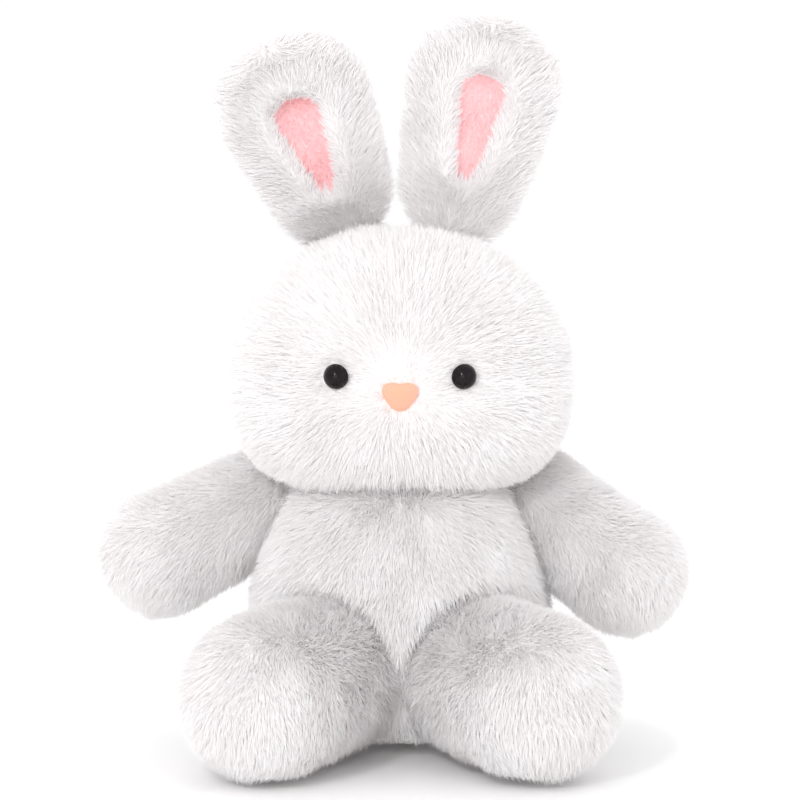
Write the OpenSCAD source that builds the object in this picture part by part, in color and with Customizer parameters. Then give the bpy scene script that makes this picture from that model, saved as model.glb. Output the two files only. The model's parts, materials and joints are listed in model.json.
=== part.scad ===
// Stuffed bunny rabbit, sitting, facing -Y, with +Z up.
// The origin is on the floor, at the middle of the flat seat. Left and right are the toy's own.
// Sewn fur-fabric panels close round polyester stuffing. Each limb's round root sits in a dimple
// of the torso, and a loop of ladder stitches in the gap between them is the joint.

/* [Fabric] */
// Thickness of the fur fabric, knitted backing and pressed pile together
fur_t = 5; // [4:0.5:6]
// Gap left along each sewn seam
seam_gap = 0.3; // [0.2:0.1:0.6]
// Gap between a panel and the stuffing behind it
stuff_gap = 0.3; // [0.2:0.1:0.6]
// Gap between a limb's round root and its dimple
joint_gap = 1.3; // [1.1:0.1:2]
// Diameter of the ladder-stitch thread
thread_d = 0.7; // [0.5:0.05:0.8]

/* [Torso] */
// Diameter of the torso at its widest
torso_w = 142; // [128:1:160]
// Height of the torso's dome above the floor
torso_h = 148; // [138:1:160]
// Height at which the torso is widest
belly_z = 60; // [52:1:70]

/* [Head] */
// Width of the head across the cheeks
head_w = 160; // [138:1:190]
// Height of the head, and its depth from front to back
head_h = 124; // [112:1:140]
// How far the head's middle lies in front of the torso's
head_forward = 8; // [0:1:14]
// How far the head dips below the top of the torso's dome
head_sink = 23; // [17:1:27]
// Room left between the head and the torso for nodding and turning
neck_room = 8; // [6:0.5:10]
// Radius of the firm ball of stuffing in the neck
neck_r = 30; // [26:1:34]

/* [Arms] */
// Radius of the arm's round root
arm_root_r = 22; // [18:1:25]
// Radius of the hand
hand_r = 30; // [25:1:34]
// Distance from the shoulder's middle to the hand's middle
arm_len = 60; // [50:1:72]
// How far the left arm hangs below level, in degrees
left_arm_droop = 29; // [20:1:38]
// How far the left arm points forwards, in degrees
left_arm_forward = 26; // [5:1:38]
// How far the right arm hangs below level, in degrees
right_arm_droop = 22; // [12:1:38]
// How far the right arm points forwards, in degrees
right_arm_forward = 10; // [0:1:35]

/* [Legs] */
// Radius of the leg's round root
leg_root_r = 33; // [28:1:34]
// Radius of the foot
foot_r = 39; // [34:1:43]
// Distance from the hip's middle to the foot's middle
leg_len = 58; // [50:1:70]
// How far each leg points outwards, in degrees
leg_splay = 24; // [17:1:30]

/* [Ears] */
// Radius of the ear's rounded tip
ear_tip_r = 37; // [31:1:41]
// Radius of the ear's rounded base
ear_base_r = 26; // [22:1:29]
// Length of the ear from its base seam to its tip
ear_len = 103; // [90:1:118]
// Thickness of the ear at its fullest
ear_t = 26; // [23:1:30]
// Lean of the left ear, away from upright, in degrees
left_ear_lean = 12; // [5:1:18]
// Lean of the right ear, away from upright, in degrees
right_ear_lean = 23; // [8:1:28]
// How far the left ear tips forwards, in degrees
left_ear_tip = 0; // [-10:1:20]
// How far the right ear tips forwards, in degrees
right_ear_tip = 20; // [-10:1:25]

/* [Face] */
// Diameter of each safety eye
eye_d = 12; // [9:0.5:14]
// Distance between the eyes' middles
eye_pitch = 60; // [50:1:68]
// Width of the flocked nose
nose_w = 18; // [15:0.5:20]
// Diameter of the shanks of the eyes and the nose
shank_d = 4; // [3:0.25:5]
// Length of those shanks behind the fabric's face
shank_len = 14; // [12:0.5:18]
// Diameter of the lock washers
washer_d = 16; // [14:0.5:19]

/* [Tail] */
// Radius of the pompom tail
tail_r = 21; // [17:1:25]

/* [Seat and label] */
// Radius of the pouch of pellets in the seat
pouch_r = 27; // [22:1:30]
// Thickness of the pouch of pellets
pouch_t = 13; // [10:1:15]
// Width of the care label's ribbon
label_w = 18; // [14:1:22]
// Length of the care label outside its seam
label_out = 26; // [20:1:34]

/* [Hidden] */
LEFT = 1;
RIGHT = -1;

white = [0.96, 0.95, 0.95];
stuffing_white = [0.9, 0.92, 0.94];
pink = [0.96, 0.72, 0.74];
peach = [0.98, 0.7, 0.56];
black = [0.06, 0.05, 0.05];
grey = [0.75, 0.76, 0.78];
tan = [0.82, 0.76, 0.64];

core_in = fur_t + stuff_gap;           // depth of the stuffing's surface below the fur's
arc_step = 9;                          // degrees between the points of a rounded outline
torso_power = 2.3;                     // squareness of the torso's outline, 2 is an ellipse
head_power = 2.15;                     // squareness of the head's outline
outline_steps = 14;                    // points of the torso's and head's outlines
seat_cut = 8;                          // how much of the torso's round underside is flat
base_h = 13;                           // height of the seam round the base panel
beyond = 300;                          // longer than any piece, for cutting boxes
room_h = 160;                          // height of the cones that limbs sweep
tangent_step = 1.2;                    // how far the cones stand inside the tangent
neck_rise = 18;                        // of the neck ball's middle, above the head's underside

torso_r = torso_w / 2;
torso_up = torso_h - belly_z;
torso_down = belly_z + seat_cut;
head_z = torso_h - head_sink + head_h / 2;
head_at = [0, -head_forward, head_z];
neck_at = [0, 0, head_z - head_h / 2 + neck_rise];

// One radius of a rounded body, at dz from where it is widest
function bulge(r, half, dz, power) = r * pow(1 - pow(abs(dz) / half, power), 1 / power);
function torso_radius(z) =
    bulge(torso_r, z > belly_z ? torso_up : torso_down, z - belly_z, torso_power);
function head_radius(x) = bulge(head_h / 2, head_w / 2, x, head_power);
// Angle at which the head's surface turns away at x from its middle
function head_turn(x) = atan((head_radius(x - 0.5) - head_radius(x + 0.5)));

shoulder_z = belly_z + 0.6 * torso_up;
shoulder_y = 10;
shoulder_x = torso_radius(shoulder_z) - 0.5;
hip_z = foot_r + 2;
hip_y = -0.34 * torso_w;
hip_x = leg_root_r + joint_gap / 2 + 4;
tail_z = 34;
tail_len = 20;                         // from the tail's root to the pompom's middle
tail_root_r = 9;
tail_at = [0, torso_radius(tail_z) + 2, tail_z];
stitch_angle = 50;                     // of the stitch loop, from the root's inner pole

// Half angle of each limb's sweep, with the arm's sweep centred a little below level
arm_sweep = 34;
arm_mid_droop = 24;
arm_mid_forward = 18;
leg_sweep = 30;
tail_sweep = 18;

ear_root_r = 8;                        // radius of the rolled edge that the ear folds on
root_short = 2.5;                      // how much shorter than the ear's base that edge is
ear_lens_r = 150;                      // radius of the ear's gently domed faces
ear_x = ear_base_r - 0.3;               // of each ear's fold, from the head's middle
ear_back_angle = 8;                    // of the ears' seam, behind the top of the head
ear_proud = 2.5;                       // how far the fold lies above the head's fabric
ear_sink = 7;                          // how far the ear's rounded base reaches below its fold
rim_w = 18;                            // width of the fur rim round the ear's lining
lining_t = 1.6;
lining_in = 5.5;                       // how far the lining lies below the rim

eye_drop = 5;                          // of the eyes' line, below the head's middle
nose_drop = 14;
dome_h = 5;                            // height of an eye's dome
seat_in = 1.5;                         // how far an eye's rim is set into the pile
washer_t = 1.6;
fit_gap = 0.3;                         // clearance round the small plastic parts

pouch_at = [0, 12, core_in + 3];
pouch_wall = 1;
label_angle = 50;                      // round the base seam, from the toy's left
label_t = 1.2;

function shoulder_at(side) = [side * shoulder_x, shoulder_y, shoulder_z];
function hip_at(side) = [side * hip_x, hip_y, hip_z];
function arm_droop(side) = side == LEFT ? left_arm_droop : right_arm_droop;
function arm_forward(side) = side == LEFT ? left_arm_forward : right_arm_forward;
function ear_lean(side) = side == LEFT ? left_ear_lean : right_ear_lean;
function ear_tip(side) = side == LEFT ? left_ear_tip : right_ear_tip;

// ---- shapes that repeat

function arc(middle, r, from, to) =
    let (steps = max(1, ceil(abs(to - from) / arc_step)))
    [for (i = [0 : steps]) let (a = from + (to - from) * i / steps)
        [i == 0 && from == -90 || i == steps && to == 90 ? 0 : r * cos(a), middle + r * sin(a)]];

function reversed(points) = [for (i = [len(points) - 1 : -1 : 0]) points[i]];

// Half outline of a stuffed limb from root to tip, inset from its fur surface
function limb_outline(root_r, tip_r, length, inset) =
    let (lean = asin((root_r - tip_r) / length))
    concat(arc(0, root_r - inset, -90, lean), arc(length, tip_r - inset, lean, 90));

module limb_form(root_r, tip_r, length, inset) {
    rotate_extrude($fn = 72)
        polygon(limb_outline(root_r, tip_r, length, inset));
}

// Half of a limb's sewn cover, on local +Y for side 1 and on local -Y for side -1
module limb_panel(root_r, tip_r, length, side) {
    translate([0, side * seam_gap / 2, 0])
        rotate([0, 0, side > 0 ? 0 : 180])
            rotate_extrude(angle = 180, $fn = 72)
                polygon(concat(limb_outline(root_r, tip_r, length, 0),
                    reversed(limb_outline(root_r, tip_r, length, fur_t))));
}

// Loop of thread in the gap round a limb's root
module stitch_loop(root_r) {
    r = root_r + joint_gap / 2;
    color(white)
        translate([0, 0, -r * cos(stitch_angle)])
            rotate_extrude($fn = 72)
                translate([r * sin(stitch_angle), 0])
                    circle(d = thread_d, $fn = 24);
}

// Room that a limb sweeps: its root's dimple, opening outwards into a cone
module limb_room(root_r, tip_r, length, sweep, extra) {
    half_angle = sweep + asin((tip_r - root_r) / length);
    r = root_r + joint_gap + extra;
    sphere(r = r, $fn = 72);
    apex = (r - tangent_step) / sin(half_angle);
    translate([0, 0, -apex])
        cylinder(h = room_h, r1 = 0, r2 = room_h * tan(half_angle), $fn = 72);
}

// Turns local +Z to point sideways, below level and forwards
module arm_aimed(side, droop, forward) {
    rotate([0, 0, -side * forward])
        rotate([0, side * (90 + droop), 0])
            children();
}

module leg_aimed(side) {
    drop = asin((hip_z - foot_r) / leg_len);
    rotate([0, 0, side * leg_splay])
        rotate([90 + drop, 0, 0])
            children();
}

module mirrored_to(side) {
    if (side == RIGHT)
        mirror([1, 0, 0])
            children();
    else
        children();
}

// The part of its children on one side of x = 0 and of the plane y = seam_y
module quarter(sx, sy, seam_y) {
    intersection() {
        children();
        translate([sx > 0 ? seam_gap / 2 : -beyond - seam_gap / 2,
            seam_y + (sy > 0 ? seam_gap / 2 : -beyond - seam_gap / 2), -beyond])
            cube([beyond, beyond, 3 * beyond]);
    }
}

// ---- torso

module torso_body(inset) {
    start = -asin(pow((belly_z - inset) / (torso_down - inset), torso_power / 2));
    rotate_extrude($fn = 72)
        polygon(concat([[0, inset]],
            [for (i = [0 : outline_steps])
                let (u = start + (90 - start) * i / outline_steps,
                    up = (u > 0 ? torso_up : torso_down) - inset)
                [i == outline_steps ? 0 : (torso_r - inset) * pow(cos(u), 2 / torso_power),
                    i == 0 ? inset : belly_z + sign(u) * up * pow(abs(sin(u)), 2 / torso_power)]]));
}

module head_body(inset) {
    translate(head_at)
        rotate([0, 90, 0])
            rotate_extrude($fn = 72)
                polygon([for (i = [0 : outline_steps])
                    let (u = -90 + 180 * i / outline_steps, ends = i == 0 || i == outline_steps)
                    [ends ? 0 : (head_h / 2 - inset) * pow(cos(u), 2 / head_power),
                        (head_w / 2 - inset) * sign(u) * pow(abs(sin(u)), 2 / head_power)]]);
}

// Hollow over the torso's dome for the underside of the head
module head_room(extra) {
    r = head_w * head_w / (2 * head_h);
    translate([0, -head_forward, head_z - head_h / 2 + r])
        sphere(r = r + neck_room + extra, $fn = 144);
}

// The torso inset from its fur surface, with the dimples that reach the given sides
module torso_form(inset, sides, front = true, back = true) {
    difference() {
        torso_body(inset);
        head_room(inset);
        translate(neck_at)
            sphere(r = neck_r + joint_gap + inset, $fn = 72);
        for (side = sides) {
            translate(shoulder_at(side))
                arm_aimed(side, arm_mid_droop, arm_mid_forward)
                    limb_room(arm_root_r, hand_r, arm_len, arm_sweep, inset);
            if (front)
                translate(hip_at(side))
                    leg_aimed(side)
                        limb_room(leg_root_r, foot_r, leg_len, leg_sweep, inset);
        }
        if (back)
            translate(tail_at)
                rotate([-90, 0, 0])
                    limb_room(tail_root_r, tail_r, tail_len, tail_sweep, inset);
    }
}

module label_blank(extra) {
    rotate([0, 0, label_angle])
        translate([torso_radius(base_h) - 8, -label_w / 2 - extra,
            base_h + seam_gap / 2 - label_t / 2 - extra])
            cube([8 + label_out, label_w + 2 * extra, label_t + 2 * extra]);
}

// One of the torso's four panels. The right ones are the left ones mirrored
module torso_panel(side, front) {
    color(white)
        mirrored_to(side)
            quarter(LEFT, front ? -1 : 1, 0)
                difference() {
                    torso_form(0, [LEFT], front, !front);
                    torso_form(fur_t, [LEFT], front, !front);
                    if (side == LEFT && !front)
                        label_blank(fit_gap);
                    translate([-beyond, -beyond, -1])
                        cube([2 * beyond, 2 * beyond, base_h + seam_gap + 1]);
                }
}

module torso_base() {
    color(white)
        difference() {
            torso_body(0);
            torso_body(fur_t);
            translate([-beyond, -beyond, base_h])
                cube([2 * beyond, 2 * beyond, beyond]);
            label_blank(fit_gap);
            for (side = [LEFT, RIGHT])
                translate(hip_at(side))
                    leg_aimed(side)
                        limb_room(leg_root_r, foot_r, leg_len, leg_sweep, 0);
        }
}

module pouch_form(inset) {
    r = pouch_t / 2;
    translate(pouch_at)
        translate([0, 0, r])
            rotate_extrude($fn = 72)
                polygon(concat([[0, -r + inset]],
                    [for (p = arc(0, r - inset, -89, 89)) [p[0] + pouch_r - r, p[1]]],
                    [[0, r - inset]]));
}

module pellet_pouch() {
    color(tan)
        difference() {
            pouch_form(0);
            pouch_form(pouch_wall);
        }
}

module pellets() {
    color(grey)
        pouch_form(pouch_wall + fit_gap);
}

// The left half of the torso's filling
module half_stuffing() {
    intersection() {
        torso_form(core_in, [LEFT]);
        translate([0, -beyond, -beyond])
            cube(2 * beyond);
    }
}

module torso_stuffing() {
    color(stuffing_white)
        difference() {
            for (side = [LEFT, RIGHT])
                mirrored_to(side)
                    half_stuffing();
            pouch_form(-stuff_gap);
            label_blank(fit_gap);
        }
}

module care_label() {
    color(white)
        label_blank(0);
}

module neck_stuffing() {
    color(stuffing_white)
        translate(neck_at)
            sphere(r = neck_r, $fn = 72);
}

// ---- face fittings, drawn with the fabric's face at z = 0 and +Z outwards

module on_head(x, drop, extra_turn) {
    r = head_radius(x);
    tilt = asin(drop / r);
    translate([x, -head_forward, head_z])
        rotate([90 + tilt, 0, 0])
            translate([0, 0, r])
                rotate([0, extra_turn, 0])
                    children();
}

module eye_place(side) {
    on_head(side * eye_pitch / 2, eye_drop, side * head_turn(eye_pitch / 2))
        children();
}

module nose_place() {
    on_head(0, nose_drop, 0)
        children();
}

module shank() {
    translate([0, 0, -shank_len])
        cylinder(h = shank_len - seat_in + 0.5, d = shank_d, $fn = 32);
}

module washer() {
    color(grey)
        translate([0, 0, -core_in - 1 - washer_t])
            difference() {
                cylinder(h = washer_t, d = washer_d, $fn = 48);
                translate([0, 0, -1])
                    cylinder(h = washer_t + 2, d = shank_d + 0.2, $fn = 32);
            }
}

// Hole for a shank and its washer, and the shallow seat of what the shank carries
module fitting_room(seat_r) {
    translate([0, 0, -shank_len - fit_gap])
        cylinder(h = shank_len + fit_gap + 1, d = shank_d + 2 * fit_gap, $fn = 32);
    translate([0, 0, -core_in - 1 - washer_t - fit_gap])
        cylinder(h = washer_t + 1 + stuff_gap + fit_gap, d = washer_d + 2 * fit_gap, $fn = 48);
    translate([0, 0, -seat_in - fit_gap])
        cylinder(h = 2 * dome_h, r = seat_r + fit_gap, $fn = 48);
}

module eye() {
    r = eye_d / 2;
    ball_r = (r * r + dome_h * dome_h) / (2 * dome_h);
    color(black) {
        translate([0, 0, -seat_in])
            intersection() {
                translate([0, 0, dome_h - ball_r])
                    sphere(r = ball_r, $fn = 64);
                cylinder(h = dome_h + 1, r = r + 1, $fn = 64);
            }
        shank();
    }
}

// Rounded triangle, wide at the top, with +Y up
module nose_body() {
    r = 0.2 * nose_w;
    translate([0, 0, -seat_in])
        intersection() {
            hull() {
                for (side = [LEFT, RIGHT])
                    translate([side * (nose_w / 2 - r), 0.14 * nose_w, 0])
                        sphere(r = r, $fn = 24);
                translate([0, -0.2 * nose_w, 0])
                    sphere(r = r, $fn = 24);
                translate([0, 0, 0.1 * nose_w])
                    sphere(r = r, $fn = 24);
            }
            translate([-nose_w, -nose_w, 0])
                cube(2 * nose_w);
        }
}

module nose() {
    color(peach)
        nose_place() {
            nose_body();
            shank();
        }
}

// ---- head

module ear_place(side) {
    r = head_radius(ear_x) + ear_proud;
    translate([side * ear_x, -head_forward + r * sin(ear_back_angle),
        head_z + r * cos(ear_back_angle)])
        rotate([0, side * ear_lean(side), 0])
            rotate([ear_tip(side), 0, 0])
                children();
}

module head_form(inset) {
    difference() {
        head_body(inset);
        translate(neck_at)
            sphere(r = neck_r + joint_gap + inset, $fn = 72);
        for (side = [LEFT, RIGHT])
            ear_place(side)
                rotate([0, 90, 0])
                    cylinder(h = 2 * (ear_base_r + 1 + joint_gap + inset),
                        r = ear_root_r + joint_gap + inset, center = true, $fn = 48);
    }
}

module face_rooms() {
    for (side = [LEFT, RIGHT])
        eye_place(side)
            fitting_room(eye_d / 2);
    nose_place()
        fitting_room(0.56 * nose_w);
}

module head_panel(sx, sy) {
    color(white)
        quarter(sx, sy, -head_forward + (head_h / 2) * sin(ear_back_angle))
            difference() {
                head_form(0);
                head_form(fur_t);
                if (sy < 0)
                    face_rooms();
            }
}

module head_stuffing() {
    color(stuffing_white)
        difference() {
            head_form(core_in);
            face_rooms();
        }
}

// ---- ears, drawn upright with their fold along X at z = 0

// The ear's flat outline, thick enough to cut right through it
module ear_slab(inset) {
    outline = limb_outline(ear_base_r, ear_tip_r, ear_len - ear_tip_r - ear_base_r + ear_sink,
        inset);
    translate([0, ear_t, ear_base_r - ear_sink])
        rotate([90, 0, 0])
            linear_extrude(height = 2 * ear_t)
                polygon(concat(outline, [for (p = reversed(outline)) if (p[0] > 0) [-p[0], p[1]]]));
}

module ear_lens(inset) {
    half = ear_lens_r - ear_t / 2;
    mid_z = ear_len / 2;
    intersection() {
        ear_slab(inset);
        translate([0, half, mid_z])
            sphere(r = ear_lens_r - inset, $fn = 144);
        translate([0, -half, mid_z])
            sphere(r = ear_lens_r - inset, $fn = 144);
    }
}

// The ear and the rolled edge that it folds on
module ear_form(inset) {
    ear_lens(inset);
    rotate([0, 90, 0])
        cylinder(h = 2 * (ear_base_r - root_short - inset), r = ear_root_r - inset, center = true,
            $fn = 48);
}

module ear_back(side) {
    color(white)
        ear_place(side)
            intersection() {
                difference() {
                    ear_form(0);
                    ear_form(fur_t);
                }
                translate([-beyond / 2, seam_gap / 2, -beyond / 2])
                    cube(beyond);
            }
}

module ear_front(side) {
    color(white)
        ear_place(side)
            difference() {
                ear_form(0);
                ear_form(fur_t);
                ear_slab(rim_w);
                translate([-beyond / 2, -seam_gap / 2, -beyond / 2])
                    cube(beyond);
            }
}

module ear_lining(side) {
    color(pink)
        ear_place(side)
            intersection() {
                ear_form(0.5);
                ear_slab(rim_w + seam_gap);
                translate([-beyond / 2, -ear_t / 2 + lining_in, -beyond / 2])
                    cube([beyond, lining_t, beyond]);
            }
}

module ear_stuffing(side) {
    color(stuffing_white)
        ear_place(side)
            difference() {
                ear_lens(core_in);
                intersection() {
                    ear_slab(rim_w - seam_gap);
                    translate([-beyond / 2, -beyond - ear_t / 2 + lining_in + lining_t + stuff_gap,
                        -beyond / 2])
                        cube(beyond);
                }
            }
}

// ---- limbs and tail

// Its children at one shoulder, turned so that the seam runs along the arm's top and underside
module arm_place(side) {
    translate(shoulder_at(side))
        arm_aimed(side, arm_droop(side), arm_forward(side))
            children();
}

module shoulder_stitch(side) {
    arm_place(side)
        stitch_loop(arm_root_r);
}

module arm_panel(side, front) {
    color(white)
        arm_place(side)
            limb_panel(arm_root_r, hand_r, arm_len, front ? -1 : 1);
}

module arm_stuffing(side) {
    color(stuffing_white)
        arm_place(side)
            limb_form(arm_root_r, hand_r, arm_len, core_in);
}

module leg_place(side) {
    translate(hip_at(side))
        leg_aimed(side)
            rotate([0, 0, 90])
                children();
}

module hip_stitch(side) {
    leg_place(side)
        stitch_loop(leg_root_r);
}

module leg_panel(side, inner) {
    color(white)
        leg_place(side)
            limb_panel(leg_root_r, foot_r, leg_len, inner ? side : -side);
}

module leg_stuffing(side) {
    color(stuffing_white)
        leg_place(side)
            limb_form(leg_root_r, foot_r, leg_len, core_in);
}

module tail_place() {
    translate(tail_at)
        rotate([-90, 0, 0])
            children();
}

module tail_cover() {
    color(white)
        tail_place()
            difference() {
                limb_form(tail_root_r, tail_r, tail_len, 0);
                limb_form(tail_root_r, tail_r, tail_len, fur_t);
            }
}

module tail_stuffing() {
    color(stuffing_white)
        tail_place()
            limb_form(tail_root_r, tail_r, tail_len, core_in);
}

torso_panel(LEFT, true);  // torso_front_left
torso_panel(RIGHT, true);  // torso_front_right
torso_panel(LEFT, false);  // torso_back_left
torso_panel(RIGHT, false);  // torso_back_right
torso_base();
torso_stuffing();
pellet_pouch();
pellets();
care_label();
neck_stuffing();
head_panel(LEFT, -1);  // head_front_left
head_panel(RIGHT, -1);  // head_front_right
head_panel(LEFT, 1);  // head_back_left
head_panel(RIGHT, 1);  // head_back_right
head_stuffing();
eye_place(LEFT) eye();  // left_eye
eye_place(RIGHT) eye();  // right_eye
eye_place(LEFT) washer();  // left_eye_washer
eye_place(RIGHT) washer();  // right_eye_washer
nose();
nose_place() washer();  // nose_washer
ear_back(LEFT);  // left_ear_back
ear_front(LEFT);  // left_ear_front
ear_lining(LEFT);  // left_ear_lining
ear_stuffing(LEFT);  // left_ear_stuffing
ear_back(RIGHT);  // right_ear_back
ear_front(RIGHT);  // right_ear_front
ear_lining(RIGHT);  // right_ear_lining
ear_stuffing(RIGHT);  // right_ear_stuffing
shoulder_stitch(LEFT);  // left_shoulder_stitch
arm_panel(LEFT, true);  // left_arm_front
arm_panel(LEFT, false);  // left_arm_back
arm_stuffing(LEFT);  // left_arm_stuffing
shoulder_stitch(RIGHT);  // right_shoulder_stitch
arm_panel(RIGHT, true);  // right_arm_front
arm_panel(RIGHT, false);  // right_arm_back
arm_stuffing(RIGHT);  // right_arm_stuffing
hip_stitch(LEFT);  // left_hip_stitch
leg_panel(LEFT, true);  // left_leg_inner
leg_panel(LEFT, false);  // left_leg_outer
leg_stuffing(LEFT);  // left_leg_stuffing
hip_stitch(RIGHT);  // right_hip_stitch
leg_panel(RIGHT, true);  // right_leg_inner
leg_panel(RIGHT, false);  // right_leg_outer
leg_stuffing(RIGHT);  // right_leg_stuffing
tail_cover();
tail_stuffing();
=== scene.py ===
import json
import math
import bmesh
import bpy
import numpy as np
from mathutils import Matrix, Vector


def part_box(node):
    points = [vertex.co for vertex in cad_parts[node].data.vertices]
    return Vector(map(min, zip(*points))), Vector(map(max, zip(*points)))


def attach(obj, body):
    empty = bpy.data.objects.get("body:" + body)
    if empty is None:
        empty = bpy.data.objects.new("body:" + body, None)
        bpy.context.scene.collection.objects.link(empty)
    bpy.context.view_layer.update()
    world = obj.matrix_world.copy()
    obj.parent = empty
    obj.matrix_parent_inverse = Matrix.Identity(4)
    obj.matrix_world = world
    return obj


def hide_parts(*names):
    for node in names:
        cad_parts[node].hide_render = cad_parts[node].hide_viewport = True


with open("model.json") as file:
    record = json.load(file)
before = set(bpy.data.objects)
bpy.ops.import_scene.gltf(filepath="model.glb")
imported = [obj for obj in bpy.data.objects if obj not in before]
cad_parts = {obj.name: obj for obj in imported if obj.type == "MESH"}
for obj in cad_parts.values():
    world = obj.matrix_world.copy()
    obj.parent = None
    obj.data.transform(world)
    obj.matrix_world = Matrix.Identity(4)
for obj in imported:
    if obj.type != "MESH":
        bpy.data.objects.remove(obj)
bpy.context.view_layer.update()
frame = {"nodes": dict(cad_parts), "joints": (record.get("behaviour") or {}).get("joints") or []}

pivot = {j["name"]: Vector(j["pos_m"]) for j in frame["joints"]}
mm = 0.001


def newObject(name, mesh):
    obj = bpy.data.objects.new(name, mesh)
    bpy.context.scene.collection.objects.link(obj)
    return obj


def objectFromBmesh(name, bm):
    mesh = bpy.data.meshes.new(name)
    bm.to_mesh(mesh)
    bm.free()
    mesh.shade_smooth()
    return newObject(name, mesh)


def dropObject(obj):
    mesh = obj.data
    bpy.data.objects.remove(obj)
    if mesh.users == 0:
        bpy.data.meshes.remove(mesh)


def smoothstep(low, high, x):
    t = np.clip((x - low) / (high - low), 0, 1)
    return t * t * (3 - 2 * t)


def unit(v):
    return v / np.maximum(np.linalg.norm(v, axis=-1, keepdims=True), 1e-9)


def coords(mesh):
    co = np.empty(len(mesh.vertices) * 3)
    mesh.vertices.foreach_get("co", co)
    return co.reshape(-1, 3)


def setCoords(mesh, co):
    mesh.vertices.foreach_set("co", np.ascontiguousarray(co).ravel())
    mesh.update()


def normals(mesh):
    no = np.empty(len(mesh.vertices) * 3, np.float32)
    mesh.vertex_normals.foreach_get("vector", no)
    return no.reshape(-1, 3).astype(float)


def faceCentres(mesh):
    c = np.empty(len(mesh.polygons) * 3)
    mesh.polygons.foreach_get("center", c)
    return c.reshape(-1, 3)


def setAttribute(mesh, name, kind, domain, values):
    if name in mesh.attributes:
        mesh.attributes.remove(mesh.attributes[name])
    attribute = mesh.attributes.new(name, kind, domain)
    key = "vector" if kind == "FLOAT_VECTOR" else "value"
    attribute.data.foreach_set(key, np.ascontiguousarray(values, np.float32).ravel())


def smoothMesh(mesh, times, strength=0.5):
    bm = bmesh.new()
    bm.from_mesh(mesh)
    for _ in range(times):
        bmesh.ops.smooth_vert(bm, verts=bm.verts[:], factor=strength, use_axis_x=True, use_axis_y=True,
                              use_axis_z=True)
    bm.to_mesh(mesh)
    bm.free()
    mesh.update()


def addNode(tree, kind, **values):
    node = tree.nodes.new(kind)
    for key, value in values.items():
        if hasattr(node, key):
            setattr(node, key, value)
        else:
            node.inputs[key.replace("_", " ")].default_value = value
    return node


def newGroup(name, inputs, outputs):
    group = bpy.data.node_groups.new(name, "ShaderNodeTree")
    for label, kind, value in inputs:
        socket = group.interface.new_socket(label, in_out="INPUT", socket_type=kind)
        if value is not None:
            socket.default_value = value
    for label, kind in outputs:
        group.interface.new_socket(label, in_out="OUTPUT", socket_type=kind)
    return group, group.nodes.new("NodeGroupInput"), group.nodes.new("NodeGroupOutput")


toneLook = {"fineShare": 0.45, "darkEnd": 0.5, "lightEnd": 0.95}


def makeToneGroup():
    # slow drift of a colour over the cloth, with a finer mottle inside it
    group, inp, out = newGroup("clothTone",
                               [("Light", "NodeSocketColor", None), ("Dark", "NodeSocketColor", None),
                                ("Patch Scale", "NodeSocketFloat", 40.0),
                                ("Fine Scale", "NodeSocketFloat", 400.0)],
                               [("Color", "NodeSocketColor"), ("Height", "NodeSocketFloat")])
    place = group.nodes.new("ShaderNodeTexCoord")
    patch = addNode(group, "ShaderNodeTexNoise", Detail=3.0)
    fine = addNode(group, "ShaderNodeTexNoise", Detail=2.0)
    group.links.new(place.outputs["Object"], patch.inputs["Vector"])
    group.links.new(place.outputs["Object"], fine.inputs["Vector"])
    group.links.new(inp.outputs["Patch Scale"], patch.inputs["Scale"])
    group.links.new(inp.outputs["Fine Scale"], fine.inputs["Scale"])
    both = addNode(group, "ShaderNodeMath", operation="MULTIPLY_ADD")
    group.links.new(fine.outputs["Fac"], both.inputs[0])
    both.inputs[1].default_value = toneLook["fineShare"]
    group.links.new(patch.outputs["Fac"], both.inputs[2])
    spread = addNode(group, "ShaderNodeMapRange")
    spread.inputs["From Min"].default_value = toneLook["darkEnd"]
    spread.inputs["From Max"].default_value = toneLook["lightEnd"]
    group.links.new(both.outputs[0], spread.inputs["Value"])
    mix = addNode(group, "ShaderNodeMix", data_type="RGBA")
    group.links.new(spread.outputs["Result"], mix.inputs["Factor"])
    group.links.new(inp.outputs["Dark"], mix.inputs[6])
    group.links.new(inp.outputs["Light"], mix.inputs[7])
    group.links.new(mix.outputs[2], out.inputs["Color"])
    group.links.new(fine.outputs["Fac"], out.inputs["Height"])
    return group


def makeWeaveGroup():
    # over-and-under threads from two crossed waves
    group, inp, out = newGroup("threadWeave", [("Threads", "NodeSocketFloat", 1200.0)],
                               [("Height", "NodeSocketFloat")])
    place = group.nodes.new("ShaderNodeTexCoord")
    heights = []
    for direction in ("X", "Z"):
        wave = addNode(group, "ShaderNodeTexWave", wave_type="BANDS", bands_direction=direction)
        wave.inputs["Distortion"].default_value = 0.6
        group.links.new(place.outputs["Object"], wave.inputs["Vector"])
        group.links.new(inp.outputs["Threads"], wave.inputs["Scale"])
        heights.append(wave)
    top = addNode(group, "ShaderNodeMath", operation="MAXIMUM")
    group.links.new(heights[0].outputs["Fac"], top.inputs[0])
    group.links.new(heights[1].outputs["Fac"], top.inputs[1])
    group.links.new(top.outputs[0], out.inputs["Height"])
    return group


toneGroup = makeToneGroup()
weaveGroup = makeWeaveGroup()


def newMaterial(name):
    material = bpy.data.materials.new(name)
    material.use_nodes = True
    tree = material.node_tree
    return material, tree, tree.nodes["Principled BSDF"]


def newTone(tree, light, dark, patchScale, fineScale):
    tone = tree.nodes.new("ShaderNodeGroup")
    tone.node_tree = toneGroup
    tone.inputs["Light"].default_value = (*light, 1)
    tone.inputs["Dark"].default_value = (*dark, 1)
    tone.inputs["Patch Scale"].default_value = patchScale
    tone.inputs["Fine Scale"].default_value = fineScale
    return tone


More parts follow.
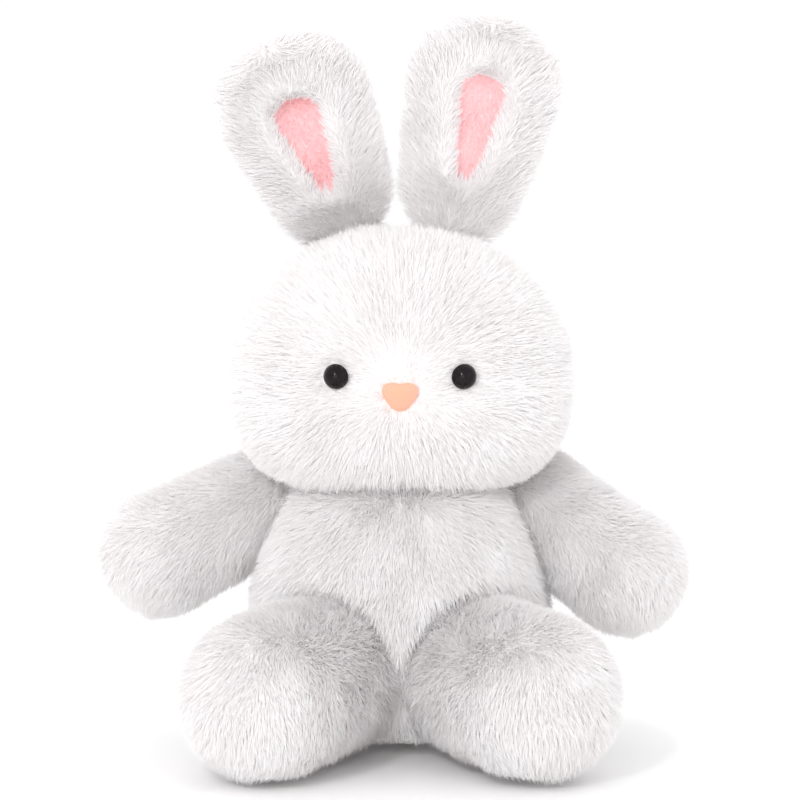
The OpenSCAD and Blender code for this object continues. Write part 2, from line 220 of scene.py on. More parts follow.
def addTone(tree, shader, light, dark, patchScale, fineScale):
    tone = newTone(tree, light, dark, patchScale, fineScale)
    tree.links.new(tone.outputs["Color"], shader.inputs["Base Color"])
    return tone


def addBump(tree, shader, height, strength, distance):
    bump = tree.nodes.new("ShaderNodeBump")
    bump.inputs["Strength"].default_value = strength
    bump.inputs["Distance"].default_value = distance
    tree.links.new(height, bump.inputs["Height"])
    tree.links.new(bump.outputs["Normal"], shader.inputs["Normal"])


def addRoughness(tree, shader, height, low, high):
    spread = addNode(tree, "ShaderNodeMapRange")
    spread.inputs["To Min"].default_value = low
    spread.inputs["To Max"].default_value = high
    tree.links.new(height, spread.inputs["Value"])
    tree.links.new(spread.outputs["Result"], shader.inputs["Roughness"])


# rootShadeEnds is how far along each lock the darker root colour, painted shade deep in the pile, fades into
# the tip colour
pileLook = {"patch": 45, "fine": 320, "rootShadeEnds": 0.7, "smoothest": 0.5, "roughest": 0.75,
            "specular": 0.25, "sheenRoughness": 0.4}


def furMaterial(name, tip, root, shade, sheen):
    # the pile's colour runs from root to tip, with a slight drift from tuft to tuft; the darker root colour
    # is painted shade deep in the pile
    material, tree, shader = newMaterial(name)
    along = addNode(tree, "ShaderNodeAttribute", attribute_name="along")
    tone = newTone(tree, tip, shade, pileLook["patch"], pileLook["fine"])
    mix = addNode(tree, "ShaderNodeMix", data_type="RGBA")
    ramp = addNode(tree, "ShaderNodeMapRange", interpolation_type="SMOOTHSTEP")
    ramp.inputs["From Max"].default_value = pileLook["rootShadeEnds"]
    tree.links.new(along.outputs["Fac"], ramp.inputs["Value"])
    tree.links.new(ramp.outputs["Result"], mix.inputs["Factor"])
    # the root colour, darker than the tip, is painted shade where the locks crowd together at the skin
    mix.inputs[6].default_value = (*root, 1)
    tree.links.new(tone.outputs["Color"], mix.inputs[7])
    tree.links.new(mix.outputs[2], shader.inputs["Base Color"])
    addRoughness(tree, shader, tone.outputs["Height"], pileLook["smoothest"], pileLook["roughest"])
    shader.inputs["Specular IOR Level"].default_value = pileLook["specular"]
    shader.inputs["Sheen Weight"].default_value = sheen
    shader.inputs["Sheen Roughness"].default_value = pileLook["sheenRoughness"]
    return material


clothLook = {"patch": 40, "wear": 0.08, "bumpDepth": 0.6 * mm}
wovenLook = {"patch": 60, "fine": 500, "wear": 0.1, "bump": 0.4, "bumpDepth": 0.2 * mm}
mouldedLook = {"patch": 90, "fine": 1500, "bump": 0.06, "bumpDepth": 0.1 * mm}


def clothMaterial(name, light, dark, roughness, bumpScale, bump, sheen=0.2):
    material, tree, shader = newMaterial(name)
    tone = addTone(tree, shader, light, dark, clothLook["patch"], bumpScale)
    wear = clothLook["wear"]
    addRoughness(tree, shader, tone.outputs["Height"], roughness - wear, roughness + wear)
    addBump(tree, shader, tone.outputs["Height"], bump, clothLook["bumpDepth"])
    shader.inputs["Sheen Weight"].default_value = sheen
    return material


def wovenMaterial(name, light, dark, roughness, threads):
    material, tree, shader = newMaterial(name)
    addTone(tree, shader, light, dark, wovenLook["patch"], wovenLook["fine"])
    weave = tree.nodes.new("ShaderNodeGroup")
    weave.node_tree = weaveGroup
    weave.inputs["Threads"].default_value = threads
    wear = wovenLook["wear"]
    addRoughness(tree, shader, weave.outputs["Height"], roughness + wear, roughness - wear)
    addBump(tree, shader, weave.outputs["Height"], wovenLook["bump"], wovenLook["bumpDepth"])
    return material


def mouldedMaterial(name, light, dark, roughness, specular):
    material, tree, shader = newMaterial(name)
    tone = addTone(tree, shader, light, dark, mouldedLook["patch"], mouldedLook["fine"])
    addRoughness(tree, shader, tone.outputs["Height"], max(roughness - 0.03, 0.02), roughness + 0.04)
    addBump(tree, shader, tone.outputs["Height"], mouldedLook["bump"], mouldedLook["bumpDepth"])
    shader.inputs["Specular IOR Level"].default_value = specular
    return material


finish = {
    # each pile's second colour is its root, a little darker than the tip: painted shade deep in the pile
    "fur": furMaterial("whiteFur", (0.95, 0.945, 0.95), (0.9, 0.882, 0.885), (0.925, 0.905, 0.905), 0.1),
    "backing": clothMaterial("whiteBacking", (0.93, 0.915, 0.91), (0.89, 0.87, 0.865), 0.85, 900, 0.5),
    "pinkPile": furMaterial("pinkPile", (0.98, 0.76, 0.77), (0.96, 0.63, 0.65), (0.97, 0.7, 0.71), 0.2),
    "pinkBacking": clothMaterial("pinkBacking", (0.97, 0.66, 0.68), (0.94, 0.58, 0.6), 0.8, 1200, 0.6),
    "flock": clothMaterial("noseFlock", (0.97, 0.46, 0.32), (0.93, 0.39, 0.26), 0.8, 2600, 0.7, 0.3),
    "eye": mouldedMaterial("eyeGloss", (0.01, 0.007, 0.009), (0.005, 0.003, 0.004), 0.06, 0.18),
    "washer": mouldedMaterial("milkyPlastic", (0.8, 0.81, 0.8), (0.7, 0.71, 0.7), 0.4, 0.5),
    "pellet": mouldedMaterial("pelletPlastic", (0.82, 0.82, 0.8), (0.72, 0.72, 0.7), 0.45, 0.5),
    "thread": wovenMaterial("stitchThread", (0.9, 0.89, 0.87), (0.8, 0.79, 0.77), 0.6, 2500),
    "cotton": wovenMaterial("pouchCotton", (0.8, 0.74, 0.62), (0.7, 0.64, 0.52), 0.8, 1500),
    "ribbon": wovenMaterial("labelRibbon", (0.93, 0.92, 0.91), (0.86, 0.85, 0.84), 0.4, 2200),
}


def dress(obj, *names):
    obj.data.materials.clear()
    for name in names:
        obj.data.materials.append(finish[name])


print("materials ready:", len(finish))


def roundBlank(name, level, place):
    bm = bmesh.new()
    bmesh.ops.create_icosphere(bm, subdivisions=level, radius=1)
    obj = objectFromBmesh(name, bm)
    setCoords(obj.data, place(unit(coords(obj.data))))
    return obj


fillLook = {"pressure": 3.0, "earPressure": 2.0, "frames": 20, "quality": 5, "bodySwell": 2.5 * mm,
            "limbSwell": 2.2 * mm, "earSwell": 1.6 * mm}


def plump(obj, held, pressure, cap):
    # blows the cushion up between its held seams, then caps how far any point has moved
    before = coords(obj.data)
    group = obj.vertex_groups.new(name="seam")
    group.add([int(i) for i in np.nonzero(held)[0]], 1.0, "REPLACE")
    cloth = obj.modifiers.new("fill", "CLOTH")
    cloth.settings.use_pressure = True
    cloth.settings.uniform_pressure_force = pressure
    cloth.settings.effector_weights.gravity = 0
    cloth.settings.vertex_group_mass = "seam"
    cloth.settings.quality = fillLook["quality"]
    cloth.point_cache.frame_start = 1
    cloth.point_cache.frame_end = fillLook["frames"]
    scene = bpy.context.scene
    for step in range(1, fillLook["frames"] + 1):
        scene.frame_set(step)
    graph = bpy.context.evaluated_depsgraph_get()
    after = coords(obj.evaluated_get(graph).to_mesh())
    obj.evaluated_get(graph).to_mesh_clear()
    obj.modifiers.clear()
    obj.vertex_groups.clear()
    scene.frame_set(1)
    move = after - before
    far = np.linalg.norm(move, axis=1, keepdims=True)
    move *= np.minimum(1, cap / np.maximum(far, 1e-9))
    setCoords(obj.data, before + move)
    return obj


def dimple(co, centre, out, radius):
    # presses the surface into a round bowl, where a limb's root sits
    rel = co - np.array(centre)
    axis = np.array(out)
    along = rel @ axis
    side = np.linalg.norm(rel - along[:, None] * axis, axis=1)
    bowl = -np.sqrt(np.maximum(radius * radius - side * side, 0))
    press = (side < radius) & (along > bowl) & (along > -radius)
    co = co.copy()
    co[press] += ((bowl - along)[:, None] * axis)[press]
    return co


def superRadius(u, half, power):
    # distance to a rounded box's surface along each unit direction
    return 1 / np.maximum((np.abs(u / half) ** power).sum(1), 1e-9) ** (1 / power)


def makeStrand(name):
    # one lock of pile: a three-sided spike, closed at its root
    bm = bmesh.new()
    bmesh.ops.create_cone(bm, cap_ends=True, segments=3, radius1=0.5, radius2=0, depth=1)
    bmesh.ops.remove_doubles(bm, verts=bm.verts[:], dist=1e-5)
    bmesh.ops.translate(bm, verts=bm.verts[:], vec=(0, 0, 0.5))
    bmesh.ops.recalc_face_normals(bm, faces=bm.faces[:])
    obj = objectFromBmesh(name, bm)
    setAttribute(obj.data, "along", "FLOAT", "POINT", coords(obj.data)[:, 2])
    return obj


strand = makeStrand("strandPattern")


strandLook = {"driftScale": 55, "driftDetail": 2, "drift": 1.5, "shortest": 0.7, "longest": 1.15,
              "rollSeed": 7, "sizeSeed": 11, "combBend": 0.5}


def makeFurTree():
    tree = bpy.data.node_groups.new("growPile", "GeometryNodeTree")
    tree.interface.new_socket("Geometry", in_out="INPUT", socket_type="NodeSocketGeometry")
    for label in ("Strand", "Density", "Length", "Width", "Lift", "Mess", "Droop", "Clump",
                  "Clump Size", "Seed"):
        kind = {"Strand": "NodeSocketObject", "Seed": "NodeSocketInt"}.get(label, "NodeSocketFloat")
        tree.interface.new_socket(label, in_out="INPUT", socket_type=kind)
    tree.interface.new_socket("Geometry", in_out="OUTPUT", socket_type="NodeSocketGeometry")
    inp = tree.nodes.new("NodeGroupInput")
    out = tree.nodes.new("NodeGroupOutput")
    link = tree.links.new

    def named(name, kind="FLOAT"):
        node = addNode(tree, "GeometryNodeInputNamedAttribute", data_type=kind)
        node.inputs["Name"].default_value = name
        return node.outputs["Attribute"]

    def vector(operation, a, b=None, scale=None):
        node = addNode(tree, "ShaderNodeVectorMath", operation=operation)
        for socket, value in ((node.inputs[0], a), (node.inputs[1], b)):
            if value is None:
                continue
            if hasattr(value, "is_output"):
                link(value, socket)
            else:
                socket.default_value = value
        if scale is not None:
            if hasattr(scale, "is_output"):
                link(scale, node.inputs["Scale"])
            else:
                node.inputs["Scale"].default_value = scale
        return node.outputs["Vector"]

    def number(operation, a, b):
        node = addNode(tree, "ShaderNodeMath", operation=operation)
        for socket, value in ((node.inputs[0], a), (node.inputs[1], b)):
            if hasattr(value, "is_output"):
                link(value, socket)
            else:
                socket.default_value = value
        return node.outputs[0]

    def store(geometry, name, kind, value):
        node = addNode(tree, "GeometryNodeStoreNamedAttribute", data_type=kind, domain="POINT")
        node.inputs["Name"].default_value = name
        link(geometry, node.inputs["Geometry"])
        link(value, node.inputs["Value"])
        return node.outputs["Geometry"]

    scatter = addNode(tree, "GeometryNodeDistributePointsOnFaces", distribute_method="RANDOM")
    link(inp.outputs["Geometry"], scatter.inputs["Mesh"])
    link(number("MULTIPLY", named("grow"), inp.outputs["Density"]), scatter.inputs["Density"])
    link(inp.outputs["Seed"], scatter.inputs["Seed"])
    spot = addNode(tree, "GeometryNodeInputPosition").outputs[0]

    points = store(scatter.outputs["Points"], "skinNormal", "FLOAT_VECTOR", scatter.outputs["Normal"])
    points = store(points, "rootSpot", "FLOAT_VECTOR", spot)

    # each lock leans along the comb, with some noise of its own
    noise = addNode(tree, "FunctionNodeRandomValue", data_type="FLOAT_VECTOR")
    noise.inputs[0].default_value = (-1, -1, -1)
    noise.inputs[1].default_value = (1, 1, 1)
    link(inp.outputs["Seed"], noise.inputs["Seed"])
    wave = addNode(tree, "ShaderNodeTexNoise", noise_dimensions="3D")
    wave.inputs["Scale"].default_value = strandLook["driftScale"]
    wave.inputs["Detail"].default_value = strandLook["driftDetail"]
    link(spot, wave.inputs["Vector"])
    drift = vector("SUBTRACT", wave.outputs["Color"], (0.5, 0.5, 0.5))
    lean = vector("ADD", vector("SCALE", scatter.outputs["Normal"], scale=inp.outputs["Lift"]),
                  named("comb", "FLOAT_VECTOR"))
    lean = vector("ADD", lean, vector("SCALE", noise.outputs["Value"], scale=inp.outputs["Mess"]))
    lean = vector("ADD", lean, vector("SCALE", drift, scale=strandLook["drift"]))
    align = addNode(tree, "FunctionNodeAlignRotationToVector", axis="Z")
    link(vector("NORMALIZE", lean), align.inputs["Vector"])
    roll = addNode(tree, "FunctionNodeRandomValue", data_type="FLOAT")
    roll.inputs[2].default_value = 0
    roll.inputs[3].default_value = 6.283
    roll.inputs["Seed"].default_value = strandLook["rollSeed"]
    turn = addNode(tree, "FunctionNodeAxisAngleToRotation")
    turn.inputs["Axis"].default_value = (0, 0, 1)
    link(roll.outputs[1], turn.inputs["Angle"])
    spin = addNode(tree, "FunctionNodeRotateRotation", rotation_space="LOCAL")
    link(align.outputs["Rotation"], spin.inputs["Rotation"])
    link(turn.outputs["Rotation"], spin.inputs["Rotate By"])

    size = addNode(tree, "FunctionNodeRandomValue", data_type="FLOAT")
    size.inputs[2].default_value = strandLook["shortest"]
    size.inputs[3].default_value = strandLook["longest"]
    size.inputs["Seed"].default_value = strandLook["sizeSeed"]
    long = number("MULTIPLY", number("MULTIPLY", size.outputs[1], inp.outputs["Length"]), named("pile"))
    scale = addNode(tree, "ShaderNodeCombineXYZ")
    link(inp.outputs["Width"], scale.inputs[0])
    link(inp.outputs["Width"], scale.inputs[1])
    link(long, scale.inputs[2])

    pattern = addNode(tree, "GeometryNodeObjectInfo")
    link(inp.outputs["Strand"], pattern.inputs["Object"])
    place = addNode(tree, "GeometryNodeInstanceOnPoints")
    link(store(points, "lockLength", "FLOAT", long), place.inputs["Points"])
    link(pattern.outputs["Geometry"], place.inputs["Instance"])
    link(spin.outputs["Rotation"], place.inputs["Rotation"])
    link(scale.outputs[0], place.inputs["Scale"])
    real = addNode(tree, "GeometryNodeRealizeInstances")
    link(place.outputs["Instances"], real.inputs["Geometry"])

    # tips bend over along the comb and draw together into tufts
    rise = number("POWER", named("along"), 2.0)
    reach = number("MULTIPLY", rise, named("lockLength"))
    bend = vector("SUBTRACT",
                  vector("SCALE", named("comb", "FLOAT_VECTOR"), scale=strandLook["combBend"]),
                  named("skinNormal", "FLOAT_VECTOR"))
    bend = vector("SCALE", vector("SCALE", bend, scale=reach), scale=inp.outputs["Droop"])
    tuft = addNode(tree, "ShaderNodeTexVoronoi", voronoi_dimensions="3D", feature="F1")
    link(named("rootSpot", "FLOAT_VECTOR"), tuft.inputs["Vector"])
    link(number("DIVIDE", 1.0, inp.outputs["Clump Size"]), tuft.inputs["Scale"])
    gather = vector("SUBTRACT", tuft.outputs["Position"], named("rootSpot", "FLOAT_VECTOR"))
    flat = addNode(tree, "ShaderNodeVectorMath", operation="DOT_PRODUCT")
    link(gather, flat.inputs[0])
    link(named("skinNormal", "FLOAT_VECTOR"), flat.inputs[1])
    gather = vector("SUBTRACT", gather,
                    vector("SCALE", named("skinNormal", "FLOAT_VECTOR"), scale=flat.outputs["Value"]))
    gather = vector("SCALE", vector("SCALE", gather, scale=rise), scale=inp.outputs["Clump"])
    shift = addNode(tree, "GeometryNodeSetPosition")
    link(real.outputs["Geometry"], shift.inputs["Geometry"])
    link(vector("ADD", bend, gather), shift.inputs["Offset"])
    link(shift.outputs["Geometry"], out.inputs["Geometry"])
    return tree


furTree = makeFurTree()
furSockets = {item.name: item.identifier for item in furTree.interface.items_tree
              if item.item_type == "SOCKET" and item.in_out == "INPUT"}
pileSeed = [3]


def growFur(skin, name, grow, settings, material="fur"):
    # grow is the share of full density on each face of the skin
    setAttribute(skin.data, "grow", "FLOAT", "FACE", grow)
    modifier = skin.modifiers.new("pile", "NODES")
    modifier.node_group = furTree
    pileSeed[0] += 1
    values = {"Strand": strand, "Seed": pileSeed[0], **settings}
    for key, value in values.items():
        modifier[furSockets[key]] = value
    graph = bpy.context.evaluated_depsgraph_get()
    graph.update()
    mesh = bpy.data.meshes.new_from_object(skin.evaluated_get(graph))
    skin.modifiers.remove(modifier)
    mesh.name = name
    for extra in ("comb", "pile", "grow", "skinNormal", "rootSpot", "lockLength"):
        if extra in mesh.attributes:
            mesh.attributes.remove(mesh.attributes[extra])
    mesh.shade_flat()
    obj = newObject(name, mesh)
    dress(obj, material)
    layPileUv(mesh)
    print("  fur", name, len(mesh.polygons))
    return obj


def layPileUv(mesh):
    # every lock gets its own cell of the sheet, root at the bottom and tip at the top
    perLock = len(strand.data.polygons)
    perCorner = perLock * 3
    count = len(mesh.polygons) // perLock
    if not count:
        return
    side = math.ceil(math.sqrt(count))
    along = np.empty(len(mesh.vertices), np.float32)
    mesh.attributes["along"].data.foreach_get("value", along)
    corner = np.empty(len(mesh.loops), np.int32)
    mesh.loops.foreach_get("vertex_index", corner)
    lock = np.arange(len(mesh.loops)) // perCorner
    across = np.tile(np.array([0.1, 0.5, 0.9]), perLock * count)[:len(mesh.loops)]
    uv = np.empty((len(mesh.loops), 2), np.float32)
    uv[:, 0] = (lock % side + across) / side
    uv[:, 1] = (lock // side + 0.1 + 0.8 * along[corner]) / side
    layer = mesh.uv_layers.new(name="OFBake")
    layer.data.foreach_set("uv", uv.ravel())


def combSkin(skin, flow, pile):
    # flow and pile are worked out at each vertex of the skin
    co, no = coords(skin.data), normals(skin.data)
    way = flow(co, no)
    way = way - no * (way * no).sum(1, keepdims=True)
    size = np.linalg.norm(way, axis=1, keepdims=True)
    way = way / np.maximum(size, 0.15)
    setAttribute(skin.data, "comb", "FLOAT_VECTOR", "POINT", way)
    setAttribute(skin.data, "pile", "FLOAT", "POINT", pile(co, no))


def furnish(obj, body, slot, *nodes):
    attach(obj, body)
    if nodes:
        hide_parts(*nodes)
    return obj


def span(*nodes):
    corners = np.array([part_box(n) for n in nodes])
    return corners[:, 0].min(0), corners[:, 1].max(0)


def blob(co, centre, radius):
    # 1 at the centre, fading to 0 at the radius
    d = np.linalg.norm(co - np.array(centre), axis=1)
    return 1 - smoothstep(0, radius, d)


def capsulePoints(u, start, way, rootRadius, tipRadius, length):
    # wraps unit directions round a limb with two round ends
    start, way = np.array(start), np.array(way)
    lean = math.asin((rootRadius - tipRadius) / length)
    rootArc = rootRadius * (math.pi / 2 + lean)
    side = length * math.cos(lean)
    tipArc = tipRadius * (math.pi / 2 - lean)
    travel = (rootArc + side + tipArc) * (1 - np.arccos(np.clip(u @ way, -1, 1)) / math.pi)
    radial = unit(u - (u @ way)[:, None] * way)
    r, z = np.empty(len(u)), np.empty(len(u))
    on = travel < rootArc
    a = -math.pi / 2 + travel[on] / rootRadius
    r[on], z[on] = rootRadius * np.cos(a), rootRadius * np.sin(a)
    on = (travel >= rootArc) & (travel < rootArc + side)
    s = travel[on] - rootArc
    r[on] = rootRadius * math.cos(lean) - s * math.sin(lean)
    z[on] = rootRadius * math.sin(lean) + s * math.cos(lean)
    on = travel >= rootArc + side
    a = lean + (travel[on] - rootArc - side) / tipRadius
    r[on], z[on] = tipRadius * np.cos(a), length + tipRadius * np.sin(a)
    return start + way * z[:, None] + radial * r[:, None]


fabric = 3.2 * mm    # how far the backing lies below the cover's outer surface
furLook = {"Density": 2000000, "Length": 8.5 * mm, "Width": 0.55 * mm, "Lift": 1.0, "Mess": 0.32,
           "Droop": 0.1, "Clump": 0.32, "Clump Size": 4 * mm}
shoulders = {1: pivot["left_shoulder_raise"], -1: pivot["right_shoulder_raise"]}
hips = {1: pivot["left_hip_lift"], -1: pivot["right_hip_lift"]}
sideName = {1: "left", -1: "right"}
armLook = {"raise": (0, 0, 5 * mm), "droop": {1: 29, -1: 22}, "forward": {1: 26, -1: 10},
           "root": 22 * mm, "hand": 30 * mm, "length": 60 * mm, "fuller": 4 * mm}
legLook = {"raise": (-3 * mm, 0, 0), "splay": 24, "root": 33 * mm, "foot": 39 * mm, "length": 58 * mm,
           "drop": 1.98, "fuller": 4.5 * mm}
limbLook = {"seam": 1.6 * mm, "seamPile": 0.55, "seamPart": 1.2 * mm, "rootPile": 0.2, "sag": 0.35,
            "soleShorter": 0.6, "soleTop": 10 * mm, "sole": 4.5 * mm}
seamLook = {"pile": 0.35, "part": 1.4 * mm}


def armWay(side):
    droop, forward = (math.radians(armLook[k][side]) for k in ("droop", "forward"))
    return np.array([side * math.cos(droop) * math.cos(forward),
                     -math.cos(droop) * math.sin(forward), -math.sin(droop)])


def legWay(side):
    splay, drop = math.radians(legLook["splay"]), math.radians(legLook["drop"])
    return np.array([side * math.sin(splay) * math.cos(drop), -math.cos(splay) * math.cos(drop),
                     -math.sin(drop)])


headLook = {"width": 163 * mm, "widest": 177 * mm, "top": 248 * mm, "chin": 121 * mm, "topPower": 2.1,
            "cheekPower": 2.9, "eyeDimple": 3.6 * mm, "eyeReach": 18 * mm, "muzzle": 3 * mm,
            "muzzleReach": 30 * mm, "noseDimple": 2.0 * mm, "noseReach": 10 * mm, "neckHollow": 31 * mm,
            "earHollow": 11 * mm, "seam": 2 * mm, "earSeam": 2.4 * mm}
# how much the pile changes in length round each feature, and how far out that reaches
facePile = {"eyes": 0.72, "eyesReach": 24 * mm, "bridge": 0.65, "bridgeReach": 26 * mm, "chin": 0.3,
            "chinReach": 24 * mm, "nose": 0.18, "noseReach": 60 * mm}
# where the pile starts: outside the eyes, outside the nose and off the neck
faceBare = {"eyeFrom": 4.5 * mm, "eyeTo": 7.5 * mm, "noseWide": 9, "noseTall": 7, "noseFrom": 0.8,
            "noseTo": 1.1, "neck": 34 * mm}
headLow, headHigh = span("head_front_left", "head_front_right", "head_back_left", "head_back_right")
headCentre = np.array([0, (headLow[1] + headHigh[1]) / 2, headHigh[2] - (headHigh[1] - headLow[1]) / 2])
headDepth = (headHigh[1] - headLow[1]) / 2
eyes = {side: np.array(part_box(sideName[side] + "_eye")).mean(0) for side in (1, -1)}
for side in eyes:
    eyes[side][1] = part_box(sideName[side] + "_eye")[0][1]
noseLow, noseHigh = span("nose")
noseSpot = np.array([0, noseLow[1], (noseLow[2] + noseHigh[2]) / 2 + 0.8 * mm])
earSpot = {1: pivot["left_ear_fold"], -1: pivot["right_ear_fold"]}


def placeHead(u):
    side, depth = headLook["width"] / 2 - fabric, headDepth - fabric
    up = headLook["top"] - headLook["widest"] - fabric
    down = headLook["widest"] - headLook["chin"] - fabric
    upper = superRadius(u, np.array([side, depth, up]), headLook["topPower"])
    lower = superRadius(u, np.array([side, depth, down]), headLook["cheekPower"])
    widest = np.array([0, headCentre[1], headLook["widest"]])
    return widest + u * np.where(u[:, 2] > 0, upper, lower)[:, None]


def shapeFace(co):
    out = unit(co - headCentre)
    for side in eyes:
        co = co - out * (headLook["eyeDimple"] * blob(co, eyes[side], headLook["eyeReach"]))[:, None]
    muzzle = blob(co, noseSpot + np.array([0, 4 * mm, -12 * mm]), headLook["muzzleReach"])
    co = co + out * (headLook["muzzle"] * muzzle)[:, None]
    bridge = blob(co, noseSpot + np.array([0, 3 * mm, 0]), headLook["noseReach"])
    return co - out * (headLook["noseDimple"] * bridge)[:, None]


def headSeam(co):
    return (np.abs(co[:, 0]) < headLook["seam"]) | (np.abs(co[:, 1] - earSpot[1].y) < headLook["earSeam"])


head = roundBlank("headCushion", 5, placeHead)
plump(head, headSeam(coords(head.data)), fillLook["pressure"], fillLook["bodySwell"])
smoothMesh(head.data, 1)
co = shapeFace(coords(head.data))
neckSpot = np.array(pivot["neck_turn"])
co = dimple(co, neckSpot, (0, 0, -1), headLook["neckHollow"])
for side in earSpot:
    co = dimple(co, np.array(earSpot[side]), (0, 0, 1), headLook["earHollow"])
setCoords(head.data, co)
smoothMesh(head.data, 1)


def headFlow(co, no):
    away = unit(co - noseSpot)
    back = smoothstep(-0.02, 0.03, co[:, 1])[:, None]
    down = np.array([0, 0, -1.0])
    away = away + down * 0.25
    return away * (1 - back) + (down + 0.2 * away) * back


def headPile(co, no):
    length = np.ones(len(co))
    for side in eyes:
        length *= 1 - facePile["eyes"] * blob(co, eyes[side], facePile["eyesReach"])
    length *= 1 - facePile["bridge"] * blob(co, noseSpot + np.array([0, 0, 5 * mm]), facePile["bridgeReach"])
    length += facePile["chin"] * blob(co, noseSpot + np.array([0, 2 * mm, -20 * mm]), facePile["chinReach"])
    length *= 1 - facePile["nose"] * blob(co, noseSpot, facePile["noseReach"])
    return length


combSkin(head, headFlow, headPile)
centres = faceCentres(head.data)
full = np.ones(len(centres))
behind = 100 * (centres[:, 1] > headCentre[1])   # far from the eyes and the nose
for side in eyes:
    toEye = np.linalg.norm((centres - eyes[side])[:, [0, 2]], axis=1)
    full *= smoothstep(faceBare["eyeFrom"], faceBare["eyeTo"], toEye + behind)
noseSize = np.array([faceBare["noseWide"], faceBare["noseTall"]])
inNose = np.linalg.norm((centres - noseSpot)[:, [0, 2]] / noseSize / mm, axis=1)
full *= smoothstep(faceBare["noseFrom"], faceBare["noseTo"], inNose + behind)
full *= 1 - 0.97 * (np.linalg.norm(centres - neckSpot, axis=1) < faceBare["neck"])
full *= seamLook["pile"] + (1 - seamLook["pile"]) * smoothstep(0, seamLook["part"], np.abs(centres[:, 0]))
dress(head, "backing")
furnish(head, "head", "fur_white", "head_stuffing")
backHead = centres[:, 1] > earSpot[1].y
for side in (1, -1):
    for rear in (False, True):
        name = f"head{'Back' if rear else 'Front'}{sideName[side].title()}Fur"
        node = f"head_{'back' if rear else 'front'}_{sideName[side]}"
        mask = (centres[:, 0] * side > 0) & (backHead == rear)
        furnish(growFur(head, name, full * mask, furLook), "head", "fur_white", node)
print("head done")


torsoLook = {"power": 2.3, "rise": 4.5 * mm, "bellyZ": 60 * mm, "top": 148 * mm, "seatBelow": 4 * mm,
             "headRoom": 7 * mm, "limbRoom": 4 * mm, "tailHollow": 12 * mm, "seam": 2.4 * mm,
             "seat": 14 * mm, "basePanel": 13.2 * mm}
torsoFur = {"seatShorter": 0.68, "seatThinner": 0.5, "limbFrom": 2 * mm, "limbTo": 6 * mm,
            "tailBare": 13 * mm, "neckBare": 24 * mm, "neckAbove": 90 * mm}
torsoHigh = span("torso_front_left", "torso_front_right", "torso_back_left", "torso_back_right",
                 "torso_base")[1]
torsoRadius = torsoHigh[1] - fabric
roomRadius = (headHigh[0] * 2) ** 2 / (2 * (headHigh[1] - headLow[1]))
roomCentre = np.array([0, headCentre[1], headCentre[2] - (headHigh[1] - headLow[1]) / 2 + roomRadius])


def placeTorso(u):
    belly, power = torsoLook["bellyZ"], torsoLook["power"]
    up = superRadius(u, np.array([torsoRadius, torsoRadius, torsoLook["top"] - belly - fabric]), power)
    down = superRadius(u, np.array([torsoRadius, torsoRadius, belly + torsoLook["seatBelow"]]), power)
    return np.array([0, 0, belly]) + u * np.where(u[:, 2] > 0, up, down)[:, None]


def settleTorso(co):
    rel = co - roomCentre
    radius = roomRadius + torsoLook["headRoom"]
    across = np.hypot(rel[:, 0], rel[:, 1])
    roof = roomCentre[2] - np.sqrt(np.maximum(radius ** 2 - across ** 2, 0))
    co[:, 2] = np.where(across < radius, np.minimum(co[:, 2], roof), co[:, 2])
    for side in (1, -1):
        co = dimple(co, shoulders[side], armWay(side), armLook["root"] + torsoLook["limbRoom"])
        co = dimple(co, hips[side], legWay(side), legLook["root"] + torsoLook["limbRoom"])
    co = dimple(co, pivot["tail_wag"], (0, 1, 0), torsoLook["tailHollow"])
    co[:, 2] = np.maximum(co[:, 2], torsoLook["rise"])
    return co


torso = roundBlank("torsoCushion", 5, placeTorso)
torsoCo = coords(torso.data)
plump(torso, (np.abs(torsoCo[:, 0]) < torsoLook["seam"]) | (np.abs(torsoCo[:, 1]) < torsoLook["seam"])
      | (torsoCo[:, 2] < torsoLook["seat"]), fillLook["pressure"], fillLook["bodySwell"])
smoothMesh(torso.data, 1)
setCoords(torso.data, settleTorso(coords(torso.data)))
smoothMesh(torso.data, 2, 0.4)
co = coords(torso.data)
co[:, 2] = np.maximum(co[:, 2], torsoLook["rise"])
setCoords(torso.data, co)


def torsoFlow(co, no):
    way = np.tile(np.array([0, 0, -1.0]), (len(co), 1))
    way[:, 0] += np.clip(co[:, 0] / torsoRadius, -1, 1) * 0.5
    under = smoothstep(20 * mm, 8 * mm, co[:, 2])[:, None]
    return way * (1 - under) + unit(co * np.array([1, 1, 0]) + 1e-6) * under


def torsoPile(co, no):
    return 1 - torsoFur["seatShorter"] * smoothstep(torsoLook["seat"], 5 * mm, co[:, 2])


combSkin(torso, torsoFlow, torsoPile)
centres = faceCentres(torso.data)
full = seamLook["pile"] + (1 - seamLook["pile"]) * smoothstep(0, seamLook["part"], np.abs(centres[:, 0]))
full *= 1 - torsoFur["seatThinner"] * smoothstep(torsoLook["seat"], 5 * mm, centres[:, 2])
for side in (1, -1):
    for spot, radius in ((shoulders[side], armLook["root"]), (hips[side], legLook["root"])):
        full *= 0.03 + 0.97 * smoothstep(radius - torsoFur["limbFrom"], radius + torsoFur["limbTo"],
                                         np.linalg.norm(centres - np.array(spot), axis=1))
toTail = np.linalg.norm(centres - np.array(pivot["tail_wag"]), axis=1)
full *= 1 - 0.95 * (toTail < torsoFur["tailBare"])
underHead = np.hypot(centres[:, 0], centres[:, 1]) < torsoFur["neckBare"]
full *= 1 - 0.9 * underHead * (centres[:, 2] > torsoFur["neckAbove"])
dress(torso, "backing")
furnish(torso, "torso", "fur_white", "torso_stuffing")
base = centres[:, 2] < torsoLook["basePanel"]
baseFur = {**furLook, "Density": 1300000, "Length": 8 * mm, "Lift": 0.35}
furnish(growFur(torso, "torsoBaseFur", full * base, baseFur), "torso", "fur_white", "torso_base")
